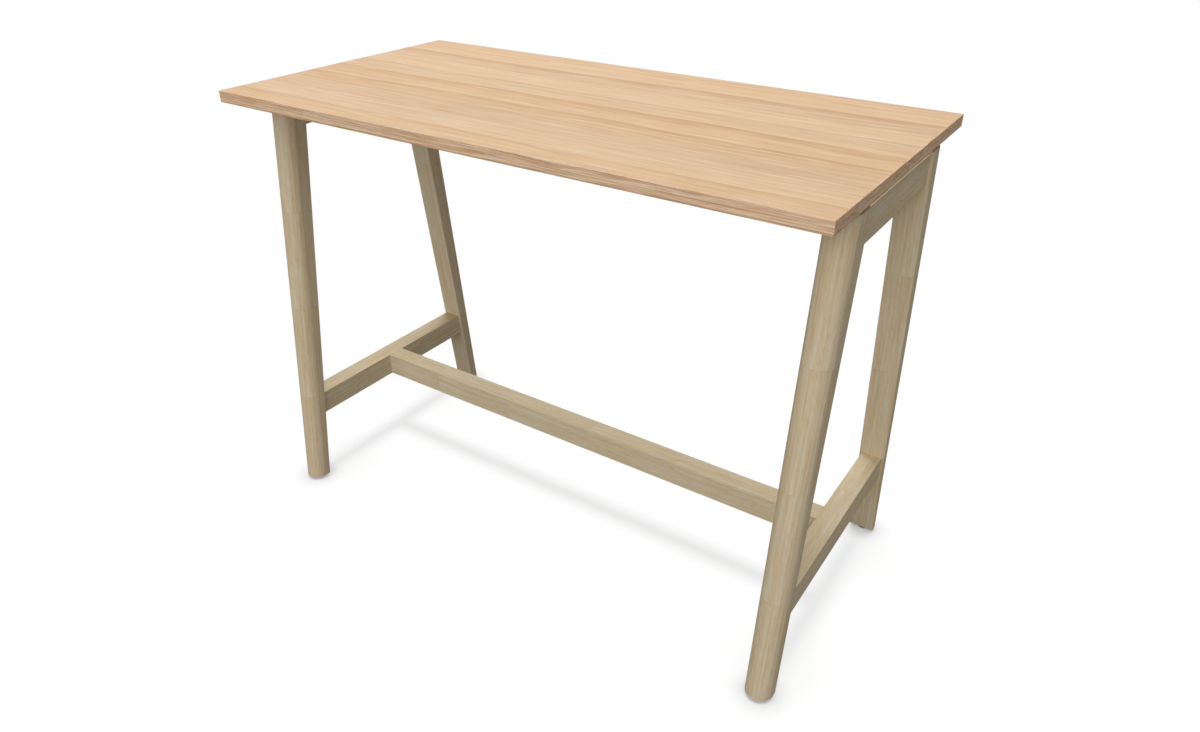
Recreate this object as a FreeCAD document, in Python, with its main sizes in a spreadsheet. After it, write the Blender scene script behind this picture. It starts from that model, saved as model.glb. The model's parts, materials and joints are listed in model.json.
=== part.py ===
import FreeCAD, Part
import math
import os
import re
import Sketcher

# High table: a banded board carried on two splayed end frames that a footrest stretcher ties together.
# Millimetres, +Z up, origin on the floor under the middle of the board, +X along the length.

SIZES = {
    "table_length": 1400,
    "table_depth": 700,
    "table_height": 1050,
    "board_thickness": 25,
    "band_thickness": 2,
    "band_arris": 1.5,
    # Legs: a flat inner face, straight sides and a crowned outer face that is half round at the foot.
    "leg_width": 60,
    "leg_inset": 2.5,
    "leg_top_gap": 8,
    "leg_top_reach": 174,
    "leg_foot_reach": 298.5,
    "leg_top_depth": 64,
    "leg_foot_depth": 43,
    "leg_top_crown": 26,
    "leg_arris": 2,
    # Rails between the legs, and the stretcher between the lower rails.
    "rail_width": 48,
    "rail_arris": 1,
    "upper_rail_gap": 13,
    "upper_rail_height": 65,
    "lower_rail_height": 60,
    "footrest_level": 251,
    "stretcher_width": 48,
    # Glued dowels.
    "dowel_diameter": 10,
    "dowel_in_leg": 24,
    "dowel_in_rail": 30,
    "dowel_in_side": 22,
    "upper_dowel_pitch": 32,
    "lower_dowel_pitch": 28,
    "dowel_end_gap": 1,
    "glue_gap": 0.05,
    # Screws that hold the board on its spacers.
    "fixing_pitch": 110,
    "spacer_diameter": 20,
    "screw_diameter": 6,
    "screw_hole_diameter": 6.6,
    "screw_head_diameter": 10,
    "screw_head_height": 6,
    "counterbore_diameter": 14,
    "counterbore_depth": 25,
    "washer_diameter": 12,
    "washer_thickness": 1.6,
    "board_insert_diameter": 10,
    "board_insert_length": 13,
    "screw_in_board": 12,
    "insert_end_gap": 1,
    # Levelling feet: a plastic pad on a threaded stem, screwed into a sleeve in the leg.
    "foot_inset": 18,
    "pad_diameter": 25,
    "pad_height": 8,
    "pad_bevel": 1,
    "foot_clearance": 0.3,
    "stem_diameter": 8,
    "stem_in_pad": 5,
    "stem_in_leg": 30,
    "stem_bevel": 1,
    "stem_end_gap": 2,
    "thread_clearance": 0.05,
    "sleeve_diameter": 12,
    "sleeve_length": 25,
}
SIDES = {"left": -1, "right": 1}
ENDS = {"front": -1, "rear": 1}
FIXINGS = (-1, 0, 1)

# Levels above the floor and places in plan, as expressions of the sizes.
UNDERSIDE = "( table_height - board_thickness )"
LEG_TOP = f"( {UNDERSIDE} - leg_top_gap )"
LEG_FOOT = "( pad_height + foot_clearance )"
RAIL_TOP = {"upper": f"( {UNDERSIDE} - upper_rail_gap )", "lower": "footrest_level"}
RAIL_MIDDLE = {rail: f"( {top} - {rail}_rail_height / 2 )" for rail, top in RAIL_TOP.items()}
RAIL_BOTTOM = {rail: f"( {top} - {rail}_rail_height )" for rail, top in RAIL_TOP.items()}
SCREW_SEAT = f"( {RAIL_BOTTOM['upper']} + counterbore_depth )"
WASHER_BOTTOM = f"( {SCREW_SEAT} - washer_thickness )"
FRAME_X = "( table_length / 2 - leg_inset - leg_width / 2 )"
STRETCHER_HALF = f"( {FRAME_X} - rail_width / 2 )"
FOOT_Y = "( leg_foot_reach + foot_inset )"

# Holes for glued pieces.
DOWEL_HOLE = "( dowel_diameter + 2 * glue_gap )"
SLEEVE_HOLE = "( sleeve_diameter + 2 * glue_gap )"
INSERT_HOLE = "( board_insert_diameter + 2 * glue_gap )"

doc = FreeCAD.newDocument("high_table")
sheet = doc.addObject("Spreadsheet::Sheet", "Sheet")
for row, (alias, value) in enumerate(SIZES.items(), start=1):
    sheet.set(f"A{row}", alias)
    sheet.set(f"B{row}", str(value))
    sheet.setAlias(f"B{row}", alias)
doc.recompute()


def bound(text):
    """The expression with every size name in it read from the sheet."""
    return re.sub("[a-z_]+", r"Sheet.\g<0>", text)


def measure(text):
    """The present value of an expression, where a sketch's points start."""
    value = sheet.evalExpression(bound(text))
    return float(getattr(value, "Value", value))


def vector(x, y):
    return FreeCAD.Vector(measure(x), measure(y), 0)


def reach(level):
    """How far the legs' flat inner faces stand from the middle plane at a level."""
    splay = f"( leg_foot_reach - leg_top_reach ) / ( {LEG_TOP} - {LEG_FOOT} )"
    return f"( leg_top_reach + {splay} * ( {LEG_TOP} - {level} ) )"


def new_body(label, x="0", y="0", turn=0):
    """An empty body, turned about Z by so many degrees and then moved to x, y."""
    body = doc.addObject("PartDesign::Body", label)
    body.Label = label
    body.AllowCompound = True
    body.Placement.Rotation = FreeCAD.Rotation(FreeCAD.Vector(0, 0, 1), turn)
    body.setExpression("Placement.Base.x", bound(x))
    body.setExpression("Placement.Base.y", bound(y))
    return body


def origin_plane(body, role):
    return next(item for item in body.Origin.OriginFeatures if item.Role == role)


def new_sketch(body, role, offset="0"):
    """A sketch on one of the body's own origin planes, moved along that plane's normal."""
    sketch = body.newObject("Sketcher::SketchObject", f"{body.Label}_sketch")
    sketch.AttachmentSupport = [(origin_plane(body, role), "")]
    sketch.MapMode = "FlatFace"
    sketch.setExpression("AttachmentOffset.Base.z", bound(offset))
    return sketch


def hold(sketch, constraint, text):
    """Adds a constraint whose value follows an expression."""
    index = sketch.addConstraint(constraint)
    sketch.setExpression(f"Constraints[{index}]", bound(text))


def place(sketch, geometry, point, x, y):
    """Holds one point of the sketch at x, y from its origin."""
    hold(sketch, Sketcher.Constraint("DistanceX", -1, 1, geometry, point, measure(x)), x)
    hold(sketch, Sketcher.Constraint("DistanceY", -1, 1, geometry, point, measure(y)), y)


def add_circle(sketch, x, y, diameter):
    across = measure(diameter)
    circle = sketch.addGeometry(Part.Circle(vector(x, y), FreeCAD.Vector(0, 0, 1), across / 2))
    place(sketch, circle, 3, x, y)
    hold(sketch, Sketcher.Constraint("Diameter", circle, across), diameter)


def add_line(sketch, start, end):
    line = sketch.addGeometry(Part.LineSegment(vector(*start), vector(*end)))
    place(sketch, line, 1, *start)
    return line


def add_polygon(sketch, points):
    """A closed outline of straight lines through points given as pairs of expressions."""
    lines = [add_line(sketch, start, end) for start, end in zip(points, points[1:] + points[:1])]
    for line, following in zip(lines, lines[1:] + lines[:1]):
        sketch.addConstraint(Sketcher.Constraint("Coincident", line, 2, following, 1))


def add_rectangle(sketch, half_x, half_y):
    near, far = f"-{half_y}", half_y
    add_polygon(sketch, [(f"-{half_x}", near), (half_x, near), (half_x, far), (f"-{half_x}", far)])


def add_arc(sketch, centre, line, following):
    """An arc about centre, anticlockwise from the end of one line to the start of another."""
    middle = vector(*centre)
    first = sketch.getPoint(line, 2)
    last = sketch.getPoint(following, 1)
    angles = [math.atan2(point.y - middle.y, point.x - middle.x) for point in (first, last)]
    circle = Part.Circle(middle, FreeCAD.Vector(0, 0, 1), (first - middle).Length)
    arc = sketch.addGeometry(Part.ArcOfCircle(circle, *angles))
    sketch.addConstraint(Sketcher.Constraint("Coincident", line, 2, arc, 1))
    sketch.addConstraint(Sketcher.Constraint("Coincident", arc, 2, following, 1))
    hold(sketch, Sketcher.Constraint("DistanceY", -1, 1, arc, 3, middle.y), centre[1])


def pad(body, sketch, length, symmetric=False, against_normal=False):
    feature = body.newObject("PartDesign::Pad", f"{body.Label}_pad")
    feature.Profile = sketch
    feature.setExpression("Length", bound(length))
    feature.SideType = "Symmetric" if symmetric else "One side"
    feature.Reversed = against_normal
    doc.recompute()
    return feature


def revolve(body, points):
    """A round piece about Z from its half profile of radius and height pairs."""
    sketch = new_sketch(body, "XZ_Plane")
    add_polygon(sketch, points)
    feature = body.newObject("PartDesign::Revolution", f"{body.Label}_turned")
    feature.Profile = sketch
    feature.ReferenceAxis = (sketch, ["V_Axis"])
    feature.Angle = 360
    doc.recompute()


def drill(body, role, bottom, centres, diameter, along_normal=False):
    """Round holes from a plane at their bottom out through the piece, against its normal or along it."""
    before = body.Shape.Volume
    sketch = new_sketch(body, role, bottom)
    for x, y in centres:
        add_circle(sketch, x, y, diameter)
    feature = body.newObject("PartDesign::Pocket", f"{body.Label}_holes")
    feature.Profile = sketch
    feature.Type = "ThroughAll"
    feature.Reversed = along_normal
    doc.recompute()
    if not body.Shape.Volume < before:
        raise RuntimeError(f"{body.Label}: holes at {bottom} cut nothing")
    return feature


def mirror(body, feature, role):
    """The same feature on the other side of one of the body's origin planes."""
    before = body.Shape.Volume
    copy = body.newObject("PartDesign::Mirrored", f"{body.Label}_mirrored")
    copy.Originals = [feature]
    copy.MirrorPlane = (origin_plane(body, role), [""])
    body.Tip = copy
    doc.recompute()
    if body.Shape.Volume == before:
        raise RuntimeError(f"{body.Label}: the mirrored feature changes nothing")


def round_edges(body, radius, chosen):
    """Fillets every edge of the body that passes the test of its middle and direction."""
    base = body.Tip
    names = []
    for index, edge in enumerate(base.Shape.Edges, start=1):
        middle = edge.valueAt((edge.FirstParameter + edge.LastParameter) / 2)
        if chosen(middle, edge.tangentAt(edge.FirstParameter)):
            names.append(f"Edge{index}")
    fillet = body.newObject("PartDesign::Fillet", f"{body.Label}_arris")
    fillet.Base = (base, names)
    fillet.setExpression("Radius", bound(radius))
    doc.recompute()


def runs_along_x(middle, along):
    return abs(along.x) > abs(along.y) + abs(along.z)


def runs_along_y(middle, along):
    return abs(along.y) > abs(along.x) + abs(along.z)


def fixing_places(both_ends=False):
    """Centres of the board's fixings along one upper rail, in its own frame, or along both in the table's."""
    ends = SIDES.values() if both_ends else (0,)
    return [(f"( {end} * {FRAME_X} )", f"( {step} * fixing_pitch )") for end in ends for step in FIXINGS]


def dowel_pair(rail):
    """Centres of a joint's two dowels, one above the other."""
    return [("0", f"( {RAIL_MIDDLE[rail]} + {sign} * {rail}_dowel_pitch / 2 )") for sign in (-1, 1)]


def build_panel():
    """The board's core, with blind holes below for the threaded inserts."""
    body = new_body("tabletop_panel")
    sketch = new_sketch(body, "XY_Plane", UNDERSIDE)
    add_rectangle(sketch, "( table_length / 2 - band_thickness )", "( table_depth / 2 - band_thickness )")
    pad(body, sketch, "board_thickness")
    bottom = f"( {UNDERSIDE} + board_insert_length + insert_end_gap )"
    drill(body, "XY_Plane", bottom, fixing_places(both_ends=True), INSERT_HOLE)


def build_bands():
    """Glued edge bands: the long ones run full length and cover the ends of the short ones."""
    half_thickness = "( band_thickness / 2 )"
    for name, side in ENDS.items():
        body = new_body(f"edge_band_{name}", y=f"{side} * ( table_depth / 2 - {half_thickness} )")
        build_band(body, "( table_length / 2 )", half_thickness, FreeCAD.Vector(0, side, 0), ends_show=True)
    for name, side in SIDES.items():
        body = new_body(f"edge_band_{name}", x=f"{side} * ( table_length / 2 - {half_thickness} )")
        half_length = "( table_depth / 2 - band_thickness )"
        build_band(body, half_thickness, half_length, FreeCAD.Vector(side, 0, 0), ends_show=False)


def build_band(body, half_x, half_y, outward, ends_show):
    """A strip as tall as the board, with its outer arrises and any showing ends rounded over."""
    sketch = new_sketch(body, "XY_Plane", UNDERSIDE)
    add_rectangle(sketch, half_x, half_y)
    pad(body, sketch, "board_thickness")
    nearly_out = measure("band_thickness") / 4
    nearly_end = measure(half_x) - nearly_out

    def shows(middle, along):
        upright = abs(along.z) > abs(along.x) + abs(along.y)
        on_outer_face = middle.dot(outward) > nearly_out
        on_end = abs(middle.x) > nearly_end and middle.dot(outward) > -nearly_out
        return on_outer_face or on_end if ends_show else on_outer_face and not upright

    round_edges(body, "band_arris", shows)


def leg_section(body, level, inner, depth, crown):
    """A flat inner face with eased arrises, straight sides and an arc that rises by the crown."""
    half = "leg_width / 2"
    flat_half = f"( {half} - leg_arris )"
    side_start = f"( {inner} + leg_arris )"
    shoulder = f"( {inner} + {depth} - {crown} )"
    radius = f"( ( {half} ) ^ 2 + {crown} ^ 2 ) / ( 2 * {crown} )"
    sketch = new_sketch(body, "XY_Plane", level)
    runs = [
        ((f"-{half}", shoulder), (f"-{half}", side_start)),
        ((f"-{flat_half}", inner), (flat_half, inner)),
        ((half, side_start), (half, shoulder)),
    ]
    lines = []
    for start, end in runs:
        lines.append(add_line(sketch, start, end))
        place(sketch, lines[-1], 2, *end)
    near_side, flat, far_side = lines
    add_arc(sketch, (f"-{flat_half}", side_start), near_side, flat)
    add_arc(sketch, (flat_half, side_start), flat, far_side)
    add_arc(sketch, ("0", f"( {inner} + {depth} - {radius} )"), far_side, near_side)
    return sketch


def build_leg(label, x, turn):
    """A splayed, tapering leg, lofted from its half-round foot to its crisper-cornered top."""
    body = new_body(label, x=x, turn=turn)
    foot = leg_section(body, LEG_FOOT, "leg_foot_reach", "leg_foot_depth", "( leg_width / 2 )")
    top = leg_section(body, LEG_TOP, "leg_top_reach", "leg_top_depth", "leg_top_crown")
    loft = body.newObject("PartDesign::AdditiveLoft", f"{label}_loft")
    loft.Profile = foot
    loft.Sections = [top]
    loft.Ruled = True
    doc.recompute()
    for rail, middle in RAIL_MIDDLE.items():
        bottom = f"-( {reach(middle)} + dowel_in_leg + dowel_end_gap )"
        drill(body, "XZ_Plane", bottom, dowel_pair(rail), DOWEL_HOLE, along_normal=True)
    sleeve_bottom = f"( {LEG_FOOT} + stem_in_leg + stem_end_gap )"
    drill(body, "XY_Plane", sleeve_bottom, [("0", FOOT_Y)], SLEEVE_HOLE)


def build_legs():
    for end, along_y in ENDS.items():
        for side, along_x in SIDES.items():
            build_leg(f"leg_{end}_{side}", f"{along_x} * {FRAME_X}", 0 if along_y > 0 else 180)


def build_rail(rail, name, side):
    """A rail whose ends are cut to the slope of the legs' inner faces and bored for dowels."""
    body = new_body(f"{rail}_rail_{name}", x=f"{side} * {FRAME_X}", turn=0 if side > 0 else 180)
    bottom, top = RAIL_BOTTOM[rail], RAIL_TOP[rail]
    low, high = reach(bottom), reach(top)
    sketch = new_sketch(body, "YZ_Plane")
    add_polygon(sketch, [(f"-{low}", bottom), (low, bottom), (high, top), (f"-{high}", top)])
    pad(body, sketch, "rail_width", symmetric=True)
    round_edges(body, "rail_arris", runs_along_y)
    hole_bottom = f"-( {reach(RAIL_MIDDLE[rail])} - dowel_in_rail - dowel_end_gap )"
    holes = drill(body, "XZ_Plane", hole_bottom, dowel_pair(rail), DOWEL_HOLE)
    mirror(body, holes, "XZ_Plane")
    return body


def build_rails():
    """Upper rails counterbored for the board's screws, and lower rails bored for the stretcher's dowels."""
    for name, side in SIDES.items():
        upper = build_rail("upper", name, side)
        drill(upper, "XY_Plane", RAIL_TOP["upper"], fixing_places(), "screw_hole_diameter")
        drill(upper, "XY_Plane", SCREW_SEAT, fixing_places(), "counterbore_diameter")
        lower = build_rail("lower", name, side)
        hole_bottom = "( dowel_in_side + dowel_end_gap - rail_width / 2 )"
        drill(lower, "YZ_Plane", hole_bottom, dowel_pair("lower"), DOWEL_HOLE)


def build_stretcher():
    """The footrest bar between the lower rails, flush with them above and below."""
    body = new_body("footrest_stretcher")
    sketch = new_sketch(body, "XY_Plane", RAIL_BOTTOM["lower"])
    add_rectangle(sketch, STRETCHER_HALF, "( stretcher_width / 2 )")
    pad(body, sketch, "lower_rail_height")
    round_edges(body, "rail_arris", runs_along_x)
    hole_bottom = f"( {STRETCHER_HALF} - dowel_in_rail - dowel_end_gap )"
    holes = drill(body, "YZ_Plane", hole_bottom, dowel_pair("lower"), DOWEL_HOLE, along_normal=True)
    mirror(body, holes, "YZ_Plane")


def add_dowels(body, rail, role, start, length, against_normal=False):
    """Two dowels from a plane outwards, and two more on the other side of the middle."""
    sketch = new_sketch(body, role, start)
    for x, z in dowel_pair(rail):
        add_circle(sketch, x, z, "dowel_diameter")
    mirror(body, pad(body, sketch, length, against_normal=against_normal), role)


def build_dowels():
    """Glued dowels, two to a joint, with each rail's four in one group."""
    rail_length = "( dowel_in_leg + dowel_in_rail )"
    for name, side in SIDES.items():
        for rail, middle in RAIL_MIDDLE.items():
            body = new_body(f"{rail}_rail_dowels_{name}", x=f"{side} * {FRAME_X}")
            start = f"-( {reach(middle)} - dowel_in_rail )"
            add_dowels(body, rail, "XZ_Plane", start, rail_length, against_normal=True)
    body = new_body("stretcher_dowels")
    start = f"( {STRETCHER_HALF} - dowel_in_rail )"
    add_dowels(body, "lower", "YZ_Plane", start, "( dowel_in_side + dowel_in_rail )")


def build_rings(label, level, height, outer, bore):
    """A ring at each of the board's fixings."""
    body = new_body(label)
    sketch = new_sketch(body, "XY_Plane", level)
    for x, y in fixing_places(both_ends=True):
        add_circle(sketch, x, y, outer)
        add_circle(sketch, x, y, bore)
    pad(body, sketch, height)


def add_discs(body, level, diameter, height, against_normal=False):
    """A disc or rod at each of the board's fixings."""
    sketch = new_sketch(body, "XY_Plane", level)
    for x, y in fixing_places(both_ends=True):
        add_circle(sketch, x, y, diameter)
    pad(body, sketch, height, against_normal=against_normal)


def build_fixings():
    """Inserts, spacers, washers and screws that carry the board clear of the upper rails."""
    thread = "( screw_diameter + 2 * thread_clearance )"
    build_rings("board_inserts", UNDERSIDE, "board_insert_length", "board_insert_diameter", thread)
    rail_top = RAIL_TOP["upper"]
    build_rings("board_spacers", rail_top, "upper_rail_gap", "spacer_diameter", "screw_hole_diameter")
    build_rings("board_washers", WASHER_BOTTOM, "washer_thickness", "washer_diameter", "screw_hole_diameter")
    screws = new_body("board_screws")
    shank_length = f"( {UNDERSIDE} + screw_in_board - {WASHER_BOTTOM} )"
    add_discs(screws, WASHER_BOTTOM, "screw_diameter", shank_length)
    add_discs(screws, WASHER_BOTTOM, "screw_head_diameter", "screw_head_height", against_normal=True)


def foot_profiles():
    """Half profiles of a levelling foot's pad and stem, and of the sleeve that the stem turns in."""
    rim = "pad_diameter / 2"
    stem = "stem_diameter / 2"
    bore = f"( {stem} + thread_clearance )"
    wall = "sleeve_diameter / 2"
    socket = "( pad_height - stem_in_pad )"
    tip = f"( {LEG_FOOT} + stem_in_leg )"
    sleeve_top = f"( {LEG_FOOT} + sleeve_length )"
    pad_base = [("0", "0"), (f"( {rim} - pad_bevel )", "0"), (rim, "pad_bevel"), (rim, "pad_height")]
    pad_socket = [(stem, "pad_height"), (stem, socket), ("0", socket)]
    stem_foot = [("0", socket), (stem, socket)]
    stem_tip = [(stem, f"( {tip} - stem_bevel )"), (f"( {stem} - stem_bevel )", tip), ("0", tip)]
    sleeve = [(bore, LEG_FOOT), (wall, LEG_FOOT), (wall, sleeve_top), (bore, sleeve_top)]
    return {"foot_pad": pad_base + pad_socket, "foot_stem": stem_foot + stem_tip, "foot_sleeve": sleeve}


def build_feet():
    for end, along_y in ENDS.items():
        for side, along_x in SIDES.items():
            for piece, profile in foot_profiles().items():
                label = f"{piece}_{end}_{side}"
                revolve(new_body(label, x=f"{along_x} * {FRAME_X}", y=f"{along_y} * {FOOT_Y}"), profile)


def write_parts():
    """Checks every object and solid, then writes one file for each body."""
    doc.recompute()
    failed = [item.Label for item in doc.Objects if {"Invalid", "Error"} & set(item.State)]
    if failed:
        raise RuntimeError(f"failed objects: {failed}")
    bodies = [item for item in doc.Objects if item.TypeId == "PartDesign::Body"]
    for body in bodies:
        if body.Shape.isNull() or not body.Shape.isValid() or not body.Shape.Solids:
            raise RuntimeError(f"{body.Label} has no valid solid")
    os.makedirs("parts", exist_ok=True)
    for body in bodies:
        body.Shape.exportStep(f"parts/{body.Label}.step")
        print(body.Label, len(body.Shape.Solids), round(body.Shape.Volume))


build_panel()
build_bands()
build_legs()
build_rails()
build_stretcher()
build_dowels()
build_fixings()
build_feet()
write_parts()
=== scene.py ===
import json
import math

import bmesh
import bpy
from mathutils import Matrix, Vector

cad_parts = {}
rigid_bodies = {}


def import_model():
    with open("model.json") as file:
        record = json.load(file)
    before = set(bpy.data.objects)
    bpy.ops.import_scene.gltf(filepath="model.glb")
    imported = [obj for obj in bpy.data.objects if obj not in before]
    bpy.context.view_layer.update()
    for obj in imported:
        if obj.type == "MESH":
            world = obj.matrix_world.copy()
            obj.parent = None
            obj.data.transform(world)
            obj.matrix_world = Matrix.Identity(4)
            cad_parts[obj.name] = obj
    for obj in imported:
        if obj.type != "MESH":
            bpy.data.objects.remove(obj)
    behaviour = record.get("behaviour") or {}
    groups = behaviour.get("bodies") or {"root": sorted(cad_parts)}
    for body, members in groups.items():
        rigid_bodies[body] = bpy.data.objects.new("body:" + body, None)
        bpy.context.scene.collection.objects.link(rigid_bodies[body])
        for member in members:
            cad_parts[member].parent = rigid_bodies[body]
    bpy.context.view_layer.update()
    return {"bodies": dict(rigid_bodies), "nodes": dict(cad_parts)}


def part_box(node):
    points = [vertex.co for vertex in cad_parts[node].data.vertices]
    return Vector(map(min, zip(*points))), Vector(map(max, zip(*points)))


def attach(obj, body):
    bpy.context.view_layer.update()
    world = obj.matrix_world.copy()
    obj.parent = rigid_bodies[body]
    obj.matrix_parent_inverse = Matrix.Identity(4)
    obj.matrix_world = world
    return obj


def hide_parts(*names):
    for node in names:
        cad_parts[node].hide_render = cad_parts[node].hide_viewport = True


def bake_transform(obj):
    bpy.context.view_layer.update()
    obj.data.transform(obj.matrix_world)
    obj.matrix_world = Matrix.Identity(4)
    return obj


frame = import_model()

NODES = frame["nodes"]
ENDS = ("front", "rear")
SIDES = ("left", "right")
LEVELS = ("upper", "lower")
CORNERS = [f"{end}_{side}" for end in ENDS for side in SIDES]
QUARTER_TURN = math.radians(90)

# Sizes of the small pieces in metres, as in the solids
MM = 0.001
PAD_RADIUS = 12.5 * MM
PAD_HEIGHT = 8 * MM
STEM_RADIUS = 4 * MM
STEM_FOOT = 3 * MM
STEM_TIP = 38.3 * MM
SCREW_RADIUS = 3 * MM
SCREW_HEAD_RADIUS = 5 * MM
SCREW_HEAD_HEIGHT = 6 * MM

# Tolerances of the modelling, in metres
SAME_PLACE = 0.01 * MM
NEAR_AXIS = 0.1 * MM
MERGED = 1e-6

# Wood: the legs' lean, the length of a glued stave in metres, the tone of plain wood and a satin surface
LEG_LEAN = math.radians(6.45)
STAVE_LENGTH = 0.25
PLAIN_TONE = 0.52
SATIN_ROUGHNESS = (0.58, 0.70)
SATIN_SHEEN = 0.06

# Studio floor in metres: a gap keeps it clear of the glides, and the places where its pieces are cut into
# strips are counted from the middle
FLOOR_SIDE = 60.0
FLOOR_GAP = 0.2 * MM
FLOOR_SLOPE_START = 0.05
FLOOR_SLOPE_END = 0.25
FLOOR_SLOPE_STEPS = 8

# Light all round the table, and the strength of the two lamps straight above it
AMBIENT = 0.145
AMBIENT_COLOUR = (1, 0.92, 0.80, 1)
SHADOW_LIGHT = 5.6
GAP_LIGHT = 1.2

# The floor's white: a share that takes the light on it, and its own glow for the rest
FLOOR_WHITE = 1.01
FLOOR_LIT = 0.11
FLOOR_GLOW = FLOOR_WHITE - FLOOR_LIT * (AMBIENT + SHADOW_LIGHT / math.pi)

# Socket kinds of the node groups
VECTOR = "NodeSocketVector"
NUMBER = "NodeSocketFloat"


# Small helpers for node trees

def paint(red, green, blue):
    """A colour given as it looks on a screen, 0 to 255, in the linear values that shaders take."""
    steps = [channel / 255 for channel in (red, green, blue)]
    linear = [step / 12.92 if step <= 0.04045 else ((step + 0.055) / 1.055) ** 2.4 for step in steps]
    return (*linear, 1.0)


def feed(tree, socket, value):
    """Wires a socket to another one, or sets it to a plain value."""
    if isinstance(value, bpy.types.NodeSocket):
        tree.links.new(value, socket)
    else:
        socket.default_value = value


def add_node(tree, kind, inputs=None, **settings):
    node = tree.nodes.new(kind)
    for name, value in settings.items():
        setattr(node, name, value)
    for name, value in (inputs or {}).items():
        feed(tree, node.inputs[name], value)
    return node


def calc(tree, operation, *values):
    node = add_node(tree, "ShaderNodeMath", dict(enumerate(values)), operation=operation)
    return node.outputs["Value"]


def total(tree, *terms):
    """The sum of (value, weight) pairs."""
    result = 0.0
    for value, weight in terms:
        result = calc(tree, "MULTIPLY_ADD", value, weight, result)
    return result


def step_between(tree, value, low, high):
    """0 below low and 1 above high, with a soft step between them."""
    inputs = {"Value": value, "From Min": low, "From Max": high}
    node = add_node(tree, "ShaderNodeMapRange", inputs, interpolation_type="SMOOTHSTEP")
    return node.outputs["Result"]


def stretched_noise(tree, place, per_metre, detail=2.0, roughness=0.5):
    """Noise about zero, drawn out along the axis that has the fewest features per metre."""
    scaled = add_node(tree, "ShaderNodeVectorMath", {0: place, 1: per_metre}, operation="MULTIPLY")
    inputs = {"Vector": scaled.outputs["Vector"], "Scale": 1.0, "Detail": detail, "Roughness": roughness}
    noise = add_node(tree, "ShaderNodeTexNoise", inputs)
    return calc(tree, "SUBTRACT", noise.outputs["Fac"], 0.5)


def random_number(tree, number, salt):
    """A random value from 0 to 1 that stays the same for the same number and salt."""
    seed = calc(tree, "ADD", number, salt)
    noise = add_node(tree, "ShaderNodeTexWhiteNoise", {"W": seed}, noise_dimensions="1D")
    return noise.outputs["Value"]


def blend_colours(tree, factor, first, second):
    # The node has sockets of the same name for each kind of value, so they are picked by number
    inputs = {0: factor, 6: first, 7: second}
    return add_node(tree, "ShaderNodeMix", inputs, data_type="RGBA").outputs[2]


def colour_ramp(tree, value, *stops):
    """Colours along a value, as (place, colour) stops."""
    node = add_node(tree, "ShaderNodeValToRGB", {"Fac": value})
    elements = node.color_ramp.elements
    while len(elements) < len(stops):
        elements.new(0.5)
    for element, (place, colour) in zip(elements, stops):
        element.position = place
        element.color = colour
    return node.outputs["Color"]


def new_group(name, inputs, outputs):
    """A shader node group with named sockets: the group, what it is given and what it puts out."""
    group = bpy.data.node_groups.new(name, "ShaderNodeTree")
    for direction, sockets in (("INPUT", inputs), ("OUTPUT", outputs)):
        for socket, kind in sockets.items():
            group.interface.new_socket(socket, in_out=direction, socket_type=kind)
    given = group.nodes.new("NodeGroupInput").outputs
    result = group.nodes.new("NodeGroupOutput").inputs
    return group, given, result


def place_group(tree, group, inputs):
    return add_node(tree, "ShaderNodeGroup", inputs, node_tree=group).outputs


# Effects that several finishes share

def ring_value(tree, ring, inside, salt):
    """A random value about zero for each growth ring, with a soft step where the ring begins."""
    before = random_number(tree, calc(tree, "SUBTRACT", ring, 1.0), salt)
    change = calc(tree, "SUBTRACT", random_number(tree, ring, salt), before)
    value = calc(tree, "MULTIPLY_ADD", change, step_between(tree, inside, 0.0, 0.12), before)
    return calc(tree, "SUBTRACT", value, 0.5)


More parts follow.
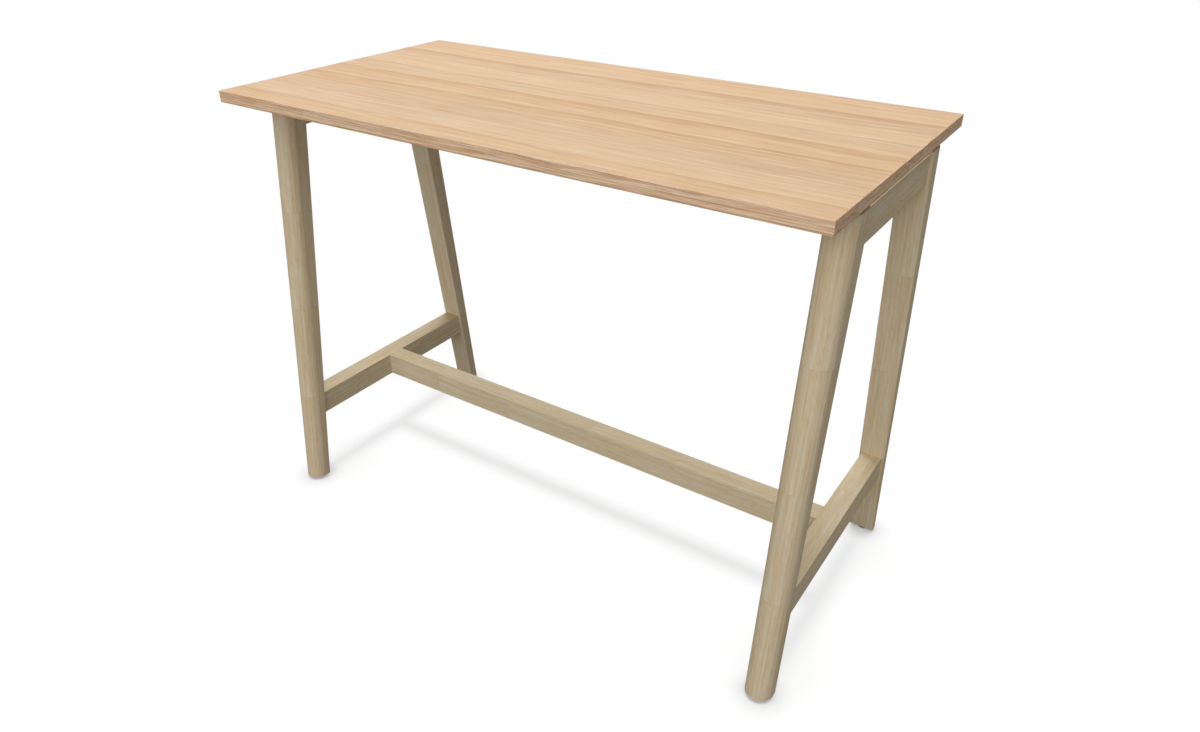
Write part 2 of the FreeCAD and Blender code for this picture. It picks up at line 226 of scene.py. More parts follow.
def build_oak_figure():
    """Wavy growth rings along X that end in dark lines, with streaks, fibres, flakes and pores."""
    inputs = {"Vector": VECTOR, "Wave Length": NUMBER, "Wave Height": NUMBER, "Ring Width": NUMBER}
    outputs = {"Tone": NUMBER, "Warmth": NUMBER, "Flake": NUMBER, "Pore": NUMBER}
    group, given, result = new_group("oak_figure", inputs, outputs)
    axes = add_node(group, "ShaderNodeSeparateXYZ", {"Vector": given["Vector"]}).outputs
    along = calc(group, "DIVIDE", axes["X"], given["Wave Length"])
    drift = add_node(group, "ShaderNodeCombineXYZ", {"X": along, "Y": axes["Y"], "Z": axes["Z"]})
    waves = stretched_noise(group, drift.outputs["Vector"], (1.0, 11.0, 11.0), 1.0)
    across = calc(group, "MULTIPLY_ADD", waves, given["Wave Height"], axes["Y"])
    place = add_node(group, "ShaderNodeCombineXYZ", {"X": axes["X"], "Y": across, "Z": axes["Z"]})
    place = place.outputs["Vector"]
    spread = add_node(group, "ShaderNodeCombineXYZ", {"Y": across}).outputs["Vector"]
    uneven = stretched_noise(group, spread, (1.0, 9.0, 1.0), 1.0)
    count = calc(group, "MULTIPLY_ADD", uneven, 1.2, calc(group, "DIVIDE", across, given["Ring Width"]))
    ring = calc(group, "FLOOR", count)
    inside = calc(group, "FRACT", count)
    sharpness = calc(group, "MULTIPLY_ADD", random_number(group, ring, 8.9), 10.0, 4.0)
    strength = calc(group, "MULTIPLY_ADD", random_number(group, ring, 3.7), 0.75, 0.25)
    lines = calc(group, "MULTIPLY", calc(group, "POWER", inside, sharpness), strength)
    starts = calc(group, "POWER", calc(group, "SUBTRACT", 1.0, inside), 9.0)
    streaks = stretched_noise(group, place, (2.4, 60.0, 60.0), 3.0, 0.7)
    fibres = stretched_noise(group, place, (9.0, 260.0, 260.0), 2.0, 0.6)
    lenses = stretched_noise(group, place, (6.0, 100.0, 100.0), 1.0)
    own_tone = ring_value(group, ring, inside, 17.3)
    tones = [
        (own_tone, 0.2), (lines, -0.36), (starts, 0.14),
        (streaks, 0.7), (fibres, 0.85), (lenses, 0.28),
    ]
    feed(group, result["Tone"], calc(group, "ADD", total(group, *tones), PLAIN_TONE))
    patches = stretched_noise(group, place, (1.5, 20.0, 20.0), 2.0)
    own_warmth = ring_value(group, ring, inside, 41.9)
    warmths = [(own_warmth, 1.0), (patches, 1.2), (lenses, -1.0), (lines, 0.3)]
    feed(group, result["Warmth"], calc(group, "ADD", total(group, *warmths), 0.5))
    feed(group, result["Flake"], step_between(group, lenses, 0.10, 0.26))
    dashes = stretched_noise(group, place, (60.0, 1100.0, 1100.0), 1.0)
    feed(group, result["Pore"], step_between(group, dashes, 0.10, 0.22))
    return group


def build_stave_figure():
    """Timber glued up from short lengths along Z, each with its own tone and fine straight figure."""
    inputs = {"Vector": VECTOR, "Stave Length": NUMBER}
    group, given, result = new_group("stave_figure", inputs, {"Tone": NUMBER, "Joint": NUMBER})
    place = given["Vector"]
    axes = add_node(group, "ShaderNodeSeparateXYZ", {"Vector": place}).outputs
    count = calc(group, "DIVIDE", axes["Z"], given["Stave Length"])
    stave = calc(group, "FLOOR", count)
    inside = calc(group, "FRACT", count)
    shift = {"X": calc(group, "MULTIPLY", stave, 0.37), "Y": stave}
    moved = add_node(group, "ShaderNodeCombineXYZ", shift).outputs["Vector"]
    own = add_node(group, "ShaderNodeVectorMath", {0: place, 1: moved}, operation="ADD").outputs["Vector"]
    broad = stretched_noise(group, own, (55.0, 55.0, 1.5), 1.0)
    streaks = stretched_noise(group, own, (180.0, 180.0, 3.5), 2.0, 0.6)
    fibres = stretched_noise(group, own, (520.0, 520.0, 10.0), 1.0)
    tilted = {"Vector": own, "Rotation": (0.16, 0.20, 0)}
    slanting = add_node(group, "ShaderNodeMapping", tilted).outputs["Vector"]
    slants = stretched_noise(group, slanting, (170.0, 170.0, 9.0), 1.0)
    flecks = step_between(group, stretched_noise(group, slanting, (260.0, 260.0, 30.0), 1.0), 0.10, 0.26)
    tint = calc(group, "SUBTRACT", random_number(group, stave, 5.9), 0.5)
    shade = calc(group, "SUBTRACT", 0.5, inside)
    tones = [
        (broad, 0.2), (streaks, 1.2), (fibres, 0.8), (slants, 0.4),
        (flecks, -0.22), (tint, 0.03), (shade, 0.08),
    ]
    feed(group, result["Tone"], calc(group, "ADD", total(group, *tones), PLAIN_TONE))
    near_end = calc(group, "MINIMUM", inside, calc(group, "SUBTRACT", 1.0, inside))
    off_joint = step_between(group, near_end, 0.001, 0.006)
    feed(group, result["Joint"], calc(group, "SUBTRACT", 1.0, off_joint))
    return group


def build_handling_marks():
    """Faint cloudy smears and dust, for roughness that isn't even."""
    inputs = {"Vector": VECTOR, "Size": NUMBER}
    group, given, result = new_group("handling_marks", inputs, {"Smear": NUMBER})
    sized = {0: given["Vector"], "Scale": given["Size"]}
    place = add_node(group, "ShaderNodeVectorMath", sized, operation="SCALE").outputs["Vector"]
    clouds = stretched_noise(group, place, (1.0, 1.0, 1.0), 4.0, 0.6)
    feed(group, result["Smear"], calc(group, "ADD", clouds, 0.5))
    return group


OAK_FIGURE = build_oak_figure()
STAVE_FIGURE = build_stave_figure()
HANDLING_MARKS = build_handling_marks()


# Finishes

def new_material(name, **shader_values):
    """A material with one Principled shader: the material, its node tree and the shader."""
    material = bpy.data.materials.new(name)
    material.use_nodes = True
    tree = material.node_tree
    shader = tree.nodes["Principled BSDF"]
    for socket, value in shader_values.items():
        shader.inputs[socket.replace("_", " ")].default_value = value
    return material, tree, shader


def object_place(tree, turn=(0, 0, 0), move=(0, 0, 0), scale=(1, 1, 1)):
    """Object coordinates, turned, moved and drawn finer so that a pattern lies along the piece."""
    coordinates = add_node(tree, "ShaderNodeTexCoord").outputs["Object"]
    inputs = {"Vector": coordinates, "Rotation": turn, "Location": move, "Scale": scale}
    return add_node(tree, "ShaderNodeMapping", inputs).outputs["Vector"]


def uneven_gloss(tree, shader, place, low, high, size=9.0):
    """Roughness that varies between low and high in soft clouds."""
    smear = place_group(tree, HANDLING_MARKS, {"Vector": place, "Size": size})["Smear"]
    inputs = {"Value": smear, "From Min": 0.25, "From Max": 0.75, "To Min": low, "To Max": high}
    roughness = add_node(tree, "ShaderNodeMapRange", inputs).outputs["Result"]
    feed(tree, shader.inputs["Roughness"], roughness)


def emboss(tree, shader, height, depth):
    inputs = {"Height": height, "Distance": depth, "Strength": 1.0}
    feed(tree, shader.inputs["Normal"], add_node(tree, "ShaderNodeBump", inputs).outputs["Normal"])


def make_oak_decor(name, turn, fineness, waves, contrast, amber, beige, flake_share, pore_share):
    """Printed oak decor with a satin surface, in amber and beige shades that run from dark to pale."""
    material, tree, shader = new_material(name, Specular_IOR_Level=SATIN_SHEEN)
    place = object_place(tree, turn, scale=fineness)
    lengths = {"Wave Length": 0.40, "Wave Height": waves, "Ring Width": 0.075}
    figure = place_group(tree, OAK_FIGURE, {"Vector": place, **lengths})
    spread = 0.35 / contrast
    stops = (0.5 - spread, 0.5, 0.5 + spread)
    beige_wood = colour_ramp(tree, figure["Tone"], *zip(stops, beige))
    amber_wood = colour_ramp(tree, figure["Tone"], *zip(stops, amber))
    wood = blend_colours(tree, figure["Warmth"], beige_wood, amber_wood)
    flakes = calc(tree, "MULTIPLY", figure["Flake"], flake_share)
    wood = blend_colours(tree, flakes, wood, beige[-1])
    pores = calc(tree, "MULTIPLY", figure["Pore"], pore_share)
    feed(tree, shader.inputs["Base Color"], blend_colours(tree, pores, wood, amber[0]))
    uneven_gloss(tree, shader, place, *SATIN_ROUGHNESS)
    height = total(tree, (figure["Tone"], 0.6), (figure["Pore"], -0.5))
    emboss(tree, shader, height, 0.1 * MM)
    return material


def make_frame_timber(name, turn, first_joint):
    """Pale lacquered hardwood, glued up from staves; first_joint is a joint's place along the grain."""
    material, tree, shader = new_material(name, Specular_IOR_Level=SATIN_SHEEN)
    place = object_place(tree, turn, (0, 0, -first_joint))
    figure = place_group(tree, STAVE_FIGURE, {"Vector": place, "Stave Length": STAVE_LENGTH})
    wood = colour_ramp(tree, figure["Tone"], (0.15, paint(210, 186, 144)), (0.85, paint(225, 215, 191)))
    joints = calc(tree, "MULTIPLY", figure["Joint"], 0.10)
    feed(tree, shader.inputs["Base Color"], blend_colours(tree, joints, wood, paint(160, 142, 112)))
    uneven_gloss(tree, shader, place, *SATIN_ROUGHNESS)
    height = total(tree, (figure["Tone"], 0.7), (figure["Joint"], -0.3))
    emboss(tree, shader, height, 0.12 * MM)
    return material


def make_dowel_beech():
    material, tree, shader = new_material("dowel_beech")
    place = object_place(tree)
    grain = stretched_noise(tree, place, (420.0, 60.0, 420.0), 3.0)
    value = calc(tree, "ADD", grain, 0.5)
    wood = colour_ramp(tree, value, (0.2, paint(196, 158, 118)), (0.8, paint(228, 196, 156)))
    feed(tree, shader.inputs["Base Color"], wood)
    uneven_gloss(tree, shader, place, 0.6, 0.75)
    emboss(tree, shader, value, 0.1 * MM)
    return material


def make_black_plastic():
    """Black moulded plastic with a fine spark-eroded texture and dust on it."""
    material, tree, shader = new_material("black_moulded_plastic")
    place = object_place(tree)
    dust = place_group(tree, HANDLING_MARKS, {"Vector": place, "Size": 160.0})["Smear"]
    black = colour_ramp(tree, dust, (0.3, paint(34, 34, 35)), (0.8, paint(58, 57, 56)))
    feed(tree, shader.inputs["Base Color"], black)
    uneven_gloss(tree, shader, place, 0.45, 0.6, 220.0)
    emboss(tree, shader, stretched_noise(tree, place, (2600.0, 2600.0, 2600.0), 1.0), 0.05 * MM)
    return material


def make_zinc_steel():
    """Zinc-plated steel: bright and slightly blue, with cloudy plating and fine turning marks."""
    material, tree, shader = new_material("zinc_plated_steel", Metallic=1.0)
    place = object_place(tree)
    plating = place_group(tree, HANDLING_MARKS, {"Vector": place, "Size": 240.0})["Smear"]
    steel = colour_ramp(tree, plating, (0.3, paint(186, 190, 196)), (0.7, paint(216, 216, 212)))
    feed(tree, shader.inputs["Base Color"], steel)
    uneven_gloss(tree, shader, place, 0.24, 0.42, 300.0)
    emboss(tree, shader, stretched_noise(tree, place, (300.0, 300.0, 4200.0), 1.0), 0.02 * MM)
    return material


def finish_nodes(material, *names):
    """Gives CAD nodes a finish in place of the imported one."""
    for name in names:
        NODES[name].material_slots[0].material = material


def finish_board():
    """Oak decor on the board, and a finer one with more contrast on its edge bands."""
    board_look = {
        "fineness": (1, 1, 1), "waves": 0.03, "contrast": 1.0,
        "flake_share": 0.7, "pore_share": 0.10,
        "amber": (paint(203, 163, 128), paint(220, 184, 147), paint(228, 198, 160)),
        "beige": (paint(204, 170, 140), paint(219, 189, 157), paint(229, 203, 173)),
    }
    band_look = {
        "fineness": (2.2, 6.5, 6.5), "waves": 0.045, "contrast": 1.9,
        "flake_share": 0.8, "pore_share": 0.25,
        "amber": (paint(195, 148, 104), paint(237, 193, 146), paint(243, 210, 166)),
        "beige": (paint(191, 156, 129), paint(236, 206, 178), paint(246, 229, 209)),
    }
    board = make_oak_decor("board_oak_decor", (0, 0, 0), **board_look)
    long_band = make_oak_decor("long_band_oak_decor", (-QUARTER_TURN, 0, 0), **band_look)
    end_band = make_oak_decor("end_band_oak_decor", (-QUARTER_TURN, -QUARTER_TURN, 0), **band_look)
    finish_nodes(board, "tabletop_panel")
    finish_nodes(long_band, "edge_band_front", "edge_band_rear")
    finish_nodes(end_band, "edge_band_left", "edge_band_right")


def finish_frame():
    """Timber whose grain runs along each leg, rail and stretcher, and beech for the dowels."""
    for end, lean in (("front", LEG_LEAN), ("rear", -LEG_LEAN)):
        leg_timber = make_frame_timber(f"{end}_leg_timber", (lean, 0, 0), first_joint=-0.032)
        finish_nodes(leg_timber, *[f"leg_{end}_{side}" for side in SIDES])
    rail_timber = make_frame_timber("rail_timber", (QUARTER_TURN, 0, 0), first_joint=0.10)
    finish_nodes(rail_timber, *[f"{level}_rail_{side}" for level in LEVELS for side in SIDES])
    stretcher_timber = make_frame_timber("stretcher_timber", (0, -QUARTER_TURN, 0), first_joint=0.042)
    finish_nodes(stretcher_timber, "footrest_stretcher")
    rail_dowels = [f"{level}_rail_dowels_{side}" for level in LEVELS for side in SIDES]
    finish_nodes(make_dowel_beech(), "stretcher_dowels", *rail_dowels)


# New pieces, modelled in place of the plainest solids

def select_only(piece, kind, wanted):
    """In edit mode, selects just the faces or edges for which wanted is true."""
    bpy.ops.mesh.select_mode(type=kind)
    bpy.ops.mesh.select_all(action="DESELECT")
    mesh = bmesh.from_edit_mesh(piece.data)
    elements = mesh.faces if kind == "FACE" else mesh.edges
    for element in elements:
        element.select_set(wanted(element))
    bmesh.update_edit_mesh(piece.data)


def on_rim(z, radius):
    """A test for edges at height z and at a radius from the Z axis."""
    def wanted(edge):
        level = all(abs(vertex.co.z - z) < SAME_PLACE for vertex in edge.verts)
        return level and all(abs(vertex.co.xy.length - radius) < SAME_PLACE for vertex in edge.verts)
    return wanted


def facing_up(z):
    """A test for a face that looks up at height z, with its middle on the Z axis."""
    def wanted(face):
        middle = face.calc_center_median()
        in_place = abs(middle.z - z) < SAME_PLACE and middle.xy.length < NEAR_AXIS
        return in_place and face.normal.z > 0.99
    return wanted


def one_side_in(step, sides):
    """A test for the upright faces of a cylinder with this many sides, one in every few."""
    def wanted(face):
        middle = face.calc_center_median()
        number = round(math.atan2(middle.y, middle.x) / math.tau * sides - 0.5)
        return abs(face.normal.z) < 0.1 and number % step == 0
    return wanted


def start_cylinder(name, radius, depth, bottom, sides):
    """A cylinder about the Z axis, left in edit mode."""
    bpy.ops.object.select_all(action="DESELECT")
    middle = (0, 0, bottom + depth / 2)
    bpy.ops.mesh.primitive_cylinder_add(vertices=sides, radius=radius, depth=depth, location=middle)
    bpy.ops.object.transform_apply(location=True)
    piece = bpy.context.object
    piece.name = name
    bpy.ops.object.mode_set(mode="EDIT")
    return piece


def push(distance):
    """Extrudes what is selected upwards, or downwards by a distance below zero."""
    bpy.ops.mesh.extrude_region_move(TRANSFORM_OT_translate={"value": (0, 0, distance)})


def finish_shape(piece, angle):
    """Closes and turns the mesh the right way out, and smooths it up to an angle."""
    bpy.ops.mesh.select_all(action="SELECT")
    bpy.ops.mesh.remove_doubles(threshold=MERGED)
    bpy.ops.mesh.normals_make_consistent(inside=False)
    bpy.ops.object.mode_set(mode="OBJECT")
    bpy.ops.object.shade_smooth_by_angle(angle=math.radians(angle))
    return piece


def model_glide():
    """A moulded glide: rounded sole, notched rim, dished top and a collar round the stem."""
    sides = 72
    sole_rounding = 1 * MM
    rim_rounding = 0.6 * MM
    notch_margin = 0.25 * MM
    notch_depth = 0.4 * MM
    rim_width = 1.4 * MM
    dish_width = 3.2 * MM
    dish_depth = 0.9 * MM
    collar_height = 0.8 * MM
    collar_top = PAD_HEIGHT - dish_depth + collar_height
    collar_width = PAD_RADIUS - STEM_RADIUS - rim_rounding - rim_width - dish_width
    glide = start_cylinder("foot_glide", PAD_RADIUS, PAD_HEIGHT, 0, sides)
    select_only(glide, "EDGE", on_rim(0, PAD_RADIUS))
    bpy.ops.mesh.bevel(offset=sole_rounding, segments=4)
    select_only(glide, "EDGE", on_rim(PAD_HEIGHT, PAD_RADIUS))
    bpy.ops.mesh.bevel(offset=rim_rounding, segments=3)
    select_only(glide, "FACE", one_side_in(3, sides))
    bpy.ops.mesh.inset(thickness=notch_margin, depth=-notch_depth, use_individual=True)
    select_only(glide, "FACE", facing_up(PAD_HEIGHT))
    bpy.ops.mesh.inset(thickness=rim_width)
    push(-dish_depth)
    bpy.ops.mesh.inset(thickness=dish_width)
    push(collar_height)
    bpy.ops.mesh.inset(thickness=collar_width)
    push(STEM_FOOT - collar_top)
    return finish_shape(glide, 35)


def draw_thread_profile(start, steps):
    """A line in the XZ plane, drawn out step by step from one point."""
    bpy.ops.object.select_all(action="DESELECT")
    bpy.ops.mesh.primitive_plane_add(size=1 * MM, location=start)
    bpy.ops.object.transform_apply(location=True)
    bpy.ops.object.mode_set(mode="EDIT")
    bpy.ops.mesh.select_mode(type="VERT")
    bpy.ops.mesh.select_all(action="SELECT")
    bpy.ops.mesh.merge(type="CENTER")
    for outwards, upwards in steps:
        bpy.ops.mesh.extrude_region_move(TRANSFORM_OT_translate={"value": (outwards, 0, upwards)})
    bpy.ops.object.mode_set(mode="OBJECT")
    return bpy.context.object


def model_threaded_stem():
    """A threaded stem: one turn's profile, screwed up the Z axis and cut to length at both ends."""
    pitch = 1.25 * MM
    depth = 0.65 * MM
    crest = STEM_RADIUS - 0.03 * MM
    spare_turns = 2
    start = (crest - depth, 0, STEM_FOOT - spare_turns * pitch)
    flank = 0.42 * pitch
    crest_flat = 0.14 * pitch
    root_flat = 0.02 * pitch
    stem = draw_thread_profile(start, [(depth, flank), (0, crest_flat), (-depth, flank), (0, root_flat)])
    stem.name = "threaded_stem"
    screw = stem.modifiers.new("thread", "SCREW")
    screw.axis = "Z"
    screw.angle = math.radians(360)
    screw.screw_offset = pitch
    screw.iterations = math.ceil((STEM_TIP - STEM_FOOT) / pitch) + 2 * spare_turns
    screw.steps = 32
    screw.render_steps = 32
    screw.use_merge_vertices = True
    screw.merge_threshold = MERGED
    bpy.ops.object.modifier_apply(modifier="thread")
    bpy.ops.object.mode_set(mode="EDIT")
    # The cut is finer than usual, because otherwise points up to 0.1 mm past it are left standing
    fine_cut = 1e-7
    for height, direction in ((STEM_TIP, 1), (STEM_FOOT, -1)):
        bpy.ops.mesh.select_all(action="SELECT")
        plane = {"plane_co": (0, 0, height), "plane_no": (0, 0, direction)}
        bpy.ops.mesh.bisect(**plane, use_fill=True, clear_outer=True, threshold=fine_cut)
    return finish_shape(stem, 30)


def model_socket_screw(seat, tip):
    """A cylinder-head screw: head under the seat, knurled rim and a six-sided socket from below."""
    sides = 60
    head_rounding = 0.5 * MM
    knurl_margin = 0.08 * MM
    knurl_depth = 0.12 * MM
    point_height = 0.8 * MM
    point_share = 0.8
    bottom = seat - SCREW_HEAD_HEIGHT
    screw = start_cylinder("board_socket_screw", SCREW_HEAD_RADIUS, SCREW_HEAD_HEIGHT, bottom, sides)
    select_only(screw, "EDGE", on_rim(bottom, SCREW_HEAD_RADIUS))
    bpy.ops.mesh.bevel(offset=head_rounding, segments=3)
    select_only(screw, "FACE", one_side_in(2, sides))
    bpy.ops.mesh.inset(thickness=knurl_margin, depth=-knurl_depth, use_individual=True)
    select_only(screw, "FACE", facing_up(seat))
    bpy.ops.mesh.inset(thickness=SCREW_HEAD_RADIUS - SCREW_RADIUS)
    push(tip - seat - point_height)
    push(point_height)
    bpy.ops.transform.resize(value=(point_share, point_share, 1), center_override=(0, 0, tip))
    finish_shape(screw, 35)
    cut_key_socket(screw, bottom)
    return screw


def cut_key_socket(screw, bottom):
    """Cuts the hole for a six-sided key into the bottom of a screw's head."""
    key_width = 5 * MM
    key_depth = 3 * MM
    key_radius = key_width / 2 / math.cos(math.radians(30))
    key = start_cylinder("key_socket", key_radius, 2 * key_depth, bottom - key_depth, 6)
    bpy.ops.object.mode_set(mode="OBJECT")
    cut = screw.modifiers.new("socket", "BOOLEAN")
    cut.object = key
    cut.solver = "EXACT"
    bpy.context.view_layer.objects.active = screw
    bpy.ops.object.modifier_apply(modifier="socket")
    bpy.data.objects.remove(key)


def put_copy(piece, name, x, y):
    """A copy of a piece, with its own mesh, moved from the Z axis to its place."""
    bpy.ops.object.select_all(action="DESELECT")
    piece.select_set(True)
    bpy.context.view_layer.objects.active = piece
    bpy.ops.object.duplicate(linked=False)
    copy = bpy.context.object
    copy.name = name
    bpy.ops.transform.translate(value=(x, y, 0))
    bpy.ops.object.transform_apply(location=True)
    return copy


def dress(piece, material, body, node):
    """Gives a new piece its finish, lets it ride on its body and stand for its CAD node."""
    piece.data.materials.clear()
    piece.data.materials.append(material)
    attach(piece, body)
    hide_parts(node)


def middle_of(node):
    low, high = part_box(node)
    return (low + high) / 2


def fit_levelling_feet(plastic, steel):
    """A glide and a threaded stem on each foot's body, and the finish of the sleeves."""
    glide = model_glide()
    stem = model_threaded_stem()
    for corner in CORNERS:
        place = middle_of(f"foot_pad_{corner}")
        body = f"foot_{corner}"
        own_glide = put_copy(glide, f"foot_glide_{corner}", place.x, place.y)
        dress(own_glide, plastic, body, f"foot_pad_{corner}")
        own_stem = put_copy(stem, f"threaded_stem_{corner}", place.x, place.y)
        dress(own_stem, steel, body, f"foot_stem_{corner}")
        finish_nodes(steel, f"foot_sleeve_{corner}")
    bpy.data.objects.remove(glide)
    bpy.data.objects.remove(stem)


def fit_board_fixings(plastic, steel):
    """Six socket screws in one piece, three at each end, and the finish of what they hold together."""
    low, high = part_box("board_screws")
    seat = low.z + SCREW_HEAD_HEIGHT
    pattern = model_socket_screw(seat, high.z)
    across = high.x - SCREW_HEAD_RADIUS
    back = high.y - SCREW_HEAD_RADIUS
    copies = []
    for x in (-across, across):
        for y in (-back, 0, back):
            copies.append(put_copy(pattern, f"board_socket_screw_{len(copies)}", x, y))
    bpy.ops.object.select_all(action="DESELECT")
    for copy in copies:
        copy.select_set(True)
    bpy.context.view_layer.objects.active = copies[0]
    bpy.ops.object.join()
    screws = bpy.context.object
    screws.name = "board_socket_screws"
    bpy.data.objects.remove(pattern)
    dress(screws, steel, "frame", "board_screws")
    finish_nodes(steel, "board_washers", "board_inserts")
    finish_nodes(plastic, "board_spacers")


# Studio

def shown_directly(tree):
    """1 for rays that show a surface as it looks, and 0 for those that only carry light."""
    path = add_node(tree, "ShaderNodeLightPath").outputs
    seen = calc(tree, "MAXIMUM", path["Is Camera Ray"], path["Is Glossy Ray"])
    return calc(tree, "MAXIMUM", seen, path["Is Transmission Ray"])


def build_world():
    """A white backdrop to look at, with a dimmer, warmer light all round the table."""
    world = bpy.data.worlds.new("studio")
    world.use_nodes = True
    bpy.context.scene.world = world
    tree = world.node_tree
    tree.nodes.clear()
    light = add_node(tree, "ShaderNodeBackground", {"Color": AMBIENT_COLOUR, "Strength": AMBIENT})
    backdrop = add_node(tree, "ShaderNodeBackground", {"Color": (1, 1, 1, 1), "Strength": 1.0})
    shaders = {0: shown_directly(tree), 1: light.outputs[0], 2: backdrop.outputs[0]}
    choice = add_node(tree, "ShaderNodeMixShader", shaders)
    add_node(tree, "ShaderNodeOutputWorld", {"Surface": choice.outputs[0]})


def make_floor_finish():
    """A white floor: mostly its own white glow, with soft contact shadows painted into that glow near
    what stands on it, and partly lit by the lamps.
    """
    contact_reach = 0.05
    contact_shade = paint(150, 150, 150)
    material = bpy.data.materials.new("studio_floor")
    material.use_nodes = True
    tree = material.node_tree
    tree.nodes.clear()
    # Painted contact shadow: the floor's glow turns grey where other pieces are near, found by ambient
    # occlusion
    near = add_node(tree, "ShaderNodeAmbientOcclusion", {"Distance": contact_reach}, samples=16)
    white = colour_ramp(tree, near.outputs["AO"], (0.0, contact_shade), (1.0, (1, 1, 1, 1)))
    strength = calc(tree, "MULTIPLY", shown_directly(tree), FLOOR_GLOW)
    glow = add_node(tree, "ShaderNodeEmission", {"Color": white, "Strength": strength})
    lit = add_node(tree, "ShaderNodeBsdfDiffuse", {"Color": (FLOOR_LIT, FLOOR_LIT, FLOOR_LIT, 1)})
    both = add_node(tree, "ShaderNodeAddShader", {0: glow.outputs[0], 1: lit.outputs[0]})
    add_node(tree, "ShaderNodeOutputMaterial", {"Surface": both.outputs[0]})
    return material


def build_floor_piece(finish, outwards, sideways):
    """An eighth of the floor, from a middle line to the diagonal, cut into strips farther out."""
    middle = (outwards + sideways) * FLOOR_SIDE / 4
    bpy.ops.object.select_all(action="DESELECT")
    bpy.ops.mesh.primitive_plane_add(size=FLOOR_SIDE / 2, location=(middle.x, middle.y, -FLOOR_GAP))
    bpy.ops.object.transform_apply(location=True)
    piece = bpy.context.object
    piece.data.materials.append(finish)
    bpy.ops.object.mode_set(mode="EDIT")
    bpy.ops.mesh.select_all(action="SELECT")
    bpy.ops.mesh.bisect(plane_co=(0, 0, 0), plane_no=outwards - sideways, clear_outer=True)
    for step in range(FLOOR_SLOPE_STEPS + 1):
        place = FLOOR_SLOPE_START + (FLOOR_SLOPE_END - FLOOR_SLOPE_START) * step / FLOOR_SLOPE_STEPS
        bpy.ops.mesh.select_all(action="SELECT")
        bpy.ops.mesh.bisect(plane_co=outwards * place, plane_no=outwards)
    bpy.ops.object.mode_set(mode="OBJECT")
    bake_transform(piece)
    return piece


def build_floor():
    """A floor in eight pieces, two by each foot."""
    finish = make_floor_finish()
    pieces = []
    for corner in CORNERS:
        foot = middle_of(f"foot_pad_{corner}")
        along = Vector((math.copysign(1, foot.x), 0, 0))
        across = Vector((0, math.copysign(1, foot.y), 0))
        for name, outwards, sideways in (("side", across, along), ("end", along, across)):
            piece = build_floor_piece(finish, outwards, sideways)
            piece.name = f"studio_floor_{corner}_{name}"
            pieces.append(piece)
    return pieces


def gather(name, pieces):
    """A collection that tells a lamp which pieces it lights, or which ones shade its light."""
    collection = bpy.data.collections.new(name)
    for piece in pieces:
        collection.objects.link(piece)
    return collection


def hang_lamp(name, kind, direction, distance, **settings):
    """A lamp that looks from a direction at a point near the middle of the table."""
    aim = Vector((0, 0, 0.6))
    lamp = bpy.data.lights.new(name, kind)
    for setting, value in settings.items():
        setattr(lamp, setting, value)
    holder = bpy.data.objects.new(name, lamp)
    towards = Vector(direction).normalized()
    holder.location = aim + towards * distance
    holder.rotation_euler = towards.to_track_quat("Z", "Y").to_euler()
    holder.visible_camera = False
    bpy.context.scene.collection.objects.link(holder)
    return holder


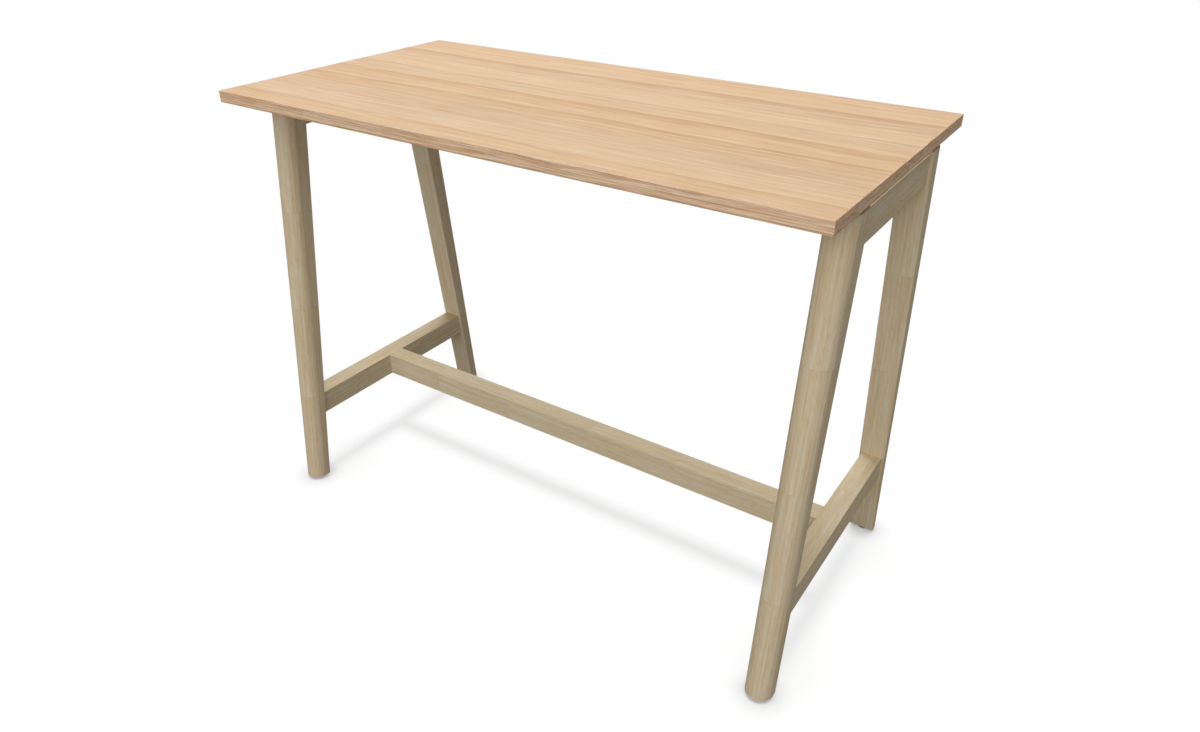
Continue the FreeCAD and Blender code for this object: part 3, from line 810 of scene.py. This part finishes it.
def hang_softboxes(floor):
    """Square soft lamps round the table, kept off the floor."""
    distance = 8.0
    side = 6.0
    # Azimuth to the right of the front and height angle in degrees, power, colour
    softboxes = {
        "front_softbox": (5, 18, 266, (0.99, 0.985, 0.985)),
        "front_right_softbox": (35, 58, 212, (1, 0.95, 0.86)),
        "rear_left_softbox": (-145, 50, 508, (0.94, 0.97, 1)),
    }
    spared = gather("not_lit_by_softboxes", floor)
    for entry in spared.collection_objects:
        entry.light_linking.link_state = "EXCLUDE"
    for name, (azimuth, height, power, colour) in softboxes.items():
        turn = math.radians(azimuth)
        lift = math.radians(height)
        direction = (math.sin(turn) * math.cos(lift), -math.cos(turn) * math.cos(lift), math.sin(lift))
        lamp = hang_lamp(name, "AREA", direction, distance, size=side, energy=power, color=colour)
        lamp.light_linking.receiver_collection = spared


def hang_sun(name, strength, lit, shading):
    """A lamp from straight above that lights some pieces alone and is shaded by some alone."""
    distance = 4.0
    spread = math.radians(15)
    lamp = hang_lamp(name, "SUN", (0, 0, 1), distance, energy=strength, angle=spread)
    lamp.light_linking.receiver_collection = lit
    lamp.light_linking.blocker_collection = shading


def hang_shadow_lamp(floor):
    """Light on the floor alone, in which the frame draws its soft shadow."""
    low_parts = ("leg", "lower_rail", "footrest")
    casting = [node for name, node in NODES.items() if name.startswith(low_parts)]
    lit = gather("lit_by_shadow_lamp", floor)
    hang_sun("shadow_lamp", SHADOW_LIGHT, lit, gather("casting_floor_shadow", casting))


def hang_gap_lamp():
    """Light on the upper rails' tops alone: what slips in between them and the board."""
    rails = gather("lit_by_gap_lamp", [NODES[f"upper_rail_{side}"] for side in SIDES])
    hang_sun("gap_lamp", GAP_LIGHT, rails, rails)


def build_camera():
    """The photograph's camera, tilted down and turned to the left from looking along Y."""
    tilt = math.radians(30.46)
    turn = math.radians(33.71)
    lens = bpy.data.cameras.new("camera")
    lens.lens = 26.532
    lens.sensor_width = 36
    camera = bpy.data.objects.new("camera", lens)
    camera.location = (1.07939, -1.52129, 1.50853)
    camera.rotation_euler = (QUARTER_TURN - tilt, 0, turn)
    bpy.context.scene.collection.objects.link(camera)
    bpy.context.scene.camera = camera


def clear_start_scene():
    """Takes away what a new Blender file holds besides the loaded model."""
    kept = set(NODES.values()) | set(frame["bodies"].values())
    for thing in list(bpy.context.scene.objects):
        if thing not in kept:
            bpy.data.objects.remove(thing)


clear_start_scene()
build_camera()
build_world()
studio_floor = build_floor()
hang_softboxes(studio_floor)
hang_shadow_lamp(studio_floor)
hang_gap_lamp()
finish_board()
finish_frame()
black_plastic = make_black_plastic()
zinc_steel = make_zinc_steel()
fit_levelling_feet(black_plastic, zinc_steel)
fit_board_fixings(black_plastic, zinc_steel)
bpy.context.scene.view_settings.view_transform = "Standard"
